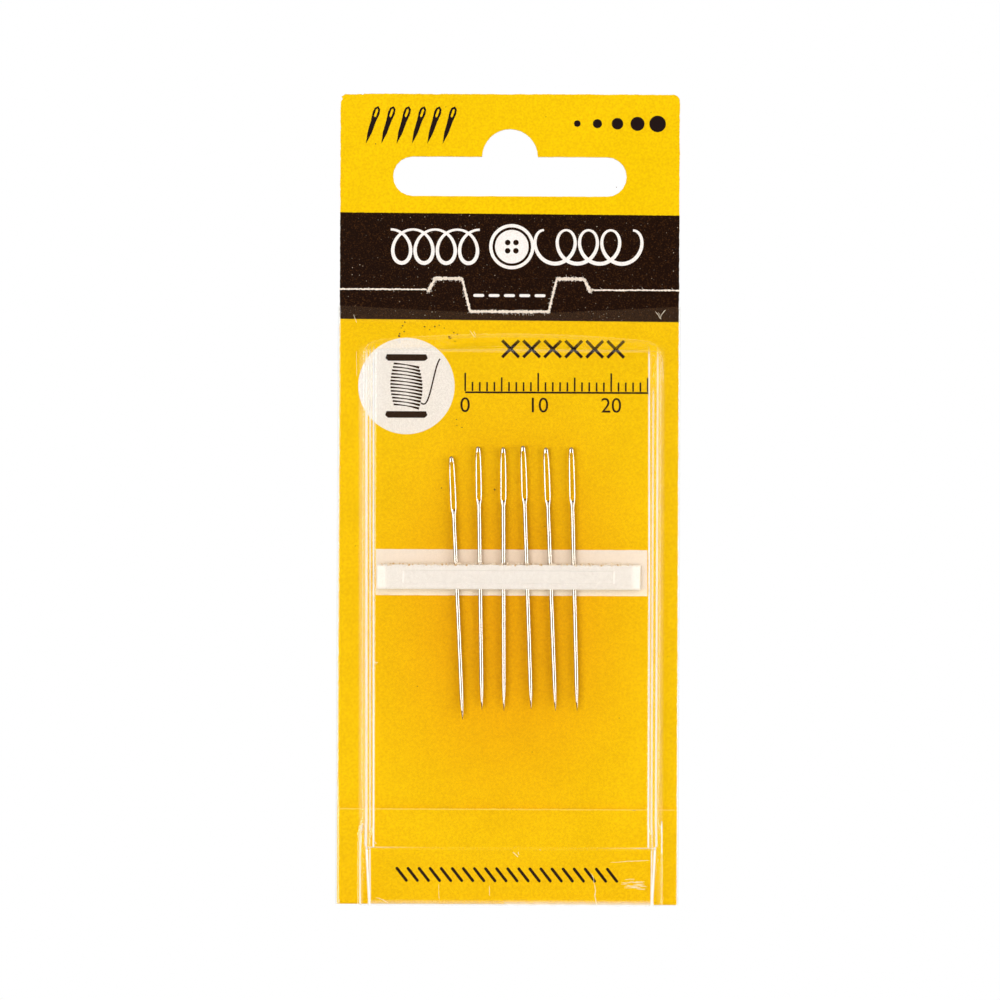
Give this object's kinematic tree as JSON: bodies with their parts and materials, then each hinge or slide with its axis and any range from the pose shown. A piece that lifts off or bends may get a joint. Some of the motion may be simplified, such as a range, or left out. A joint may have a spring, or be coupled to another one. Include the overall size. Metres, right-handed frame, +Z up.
{
  "type": "needle pack",
  "caption": "Hanging card of chenille sewing needles held in a row by a white bar, under a clear formed cover that slides up the card past a die-cut locking tongue.",
  "frame": {"origin": "the peg's bearing point: top of the hang slot's round notch, halfway through the board", "axes": "+Z up along the hanging card, +X to the viewer's right, and -Y out of the printed front"},
  "size_m": [0.047, 0.0048, 0.111],
  "materials": {
    "printed_board": "yellow printed and varnished board",
    "printed_band": "black-brown printed board",
    "clear_film": "clear thermoformed sheet",
    "white_paper": "uncoated white paper",
    "soft_foam": "soft white foam",
    "white_plastic": "white formed strip",
    "plated_steel": "polished nickel plate"
  },
  "bodies": {
    "card": {"backing_card": "printed_board", "base_strip": "white_paper", "grip_foam": "soft_foam", "retaining_bar": "white_plastic"},
    "tongue": {"lock_tongue": "printed_band"},
    "cover": {"slide_cover": "clear_film"},
    "needle_1": {"needle_1": "plated_steel"},
    "needle_2": {"needle_2": "plated_steel"},
    "needle_3": {"needle_3": "plated_steel"},
    "needle_4": {"needle_4": "plated_steel"},
    "needle_5": {"needle_5": "plated_steel"},
    "needle_6": {"needle_6": "plated_steel"}
  },
  "joints": [
    {"name": "cover_slide", "type": "slide", "parent": "card", "child": "cover", "axis": [0, 0, 1], "range_m": [0, 0.07]},
    {"name": "tongue_press", "type": "hinge", "parent": "card", "child": "tongue", "pos_m": [0, 0, -0.02053], "axis": [1, 0, 0], "range_deg": [0, 25], "stiffness_Nm_per_rad": 0.02},
    {"name": "needle_1_draw", "type": "slide", "parent": "card", "child": "needle_1", "axis": [-0.0471, 0, 0.9989], "range_m": [0, 0.011]},
    {"name": "needle_2_draw", "type": "slide", "parent": "card", "child": "needle_2", "axis": [-0.0192, 0, 0.9998], "range_m": [0, 0.011]},
    {"name": "needle_3_draw", "type": "slide", "parent": "card", "child": "needle_3", "axis": [-0.007, 0, 1], "range_m": [0, 0.011]},
    {"name": "needle_4_draw", "type": "slide", "parent": "card", "child": "needle_4", "axis": [-0.0358, 0, 0.9994], "range_m": [0, 0.011]},
    {"name": "needle_5_draw", "type": "slide", "parent": "card", "child": "needle_5", "axis": [-0.041, 0, 0.9992], "range_m": [0, 0.011]},
    {"name": "needle_6_draw", "type": "slide", "parent": "card", "child": "needle_6", "axis": [-0.027, 0, 0.9996], "range_m": [0, 0.011]}
  ]
}
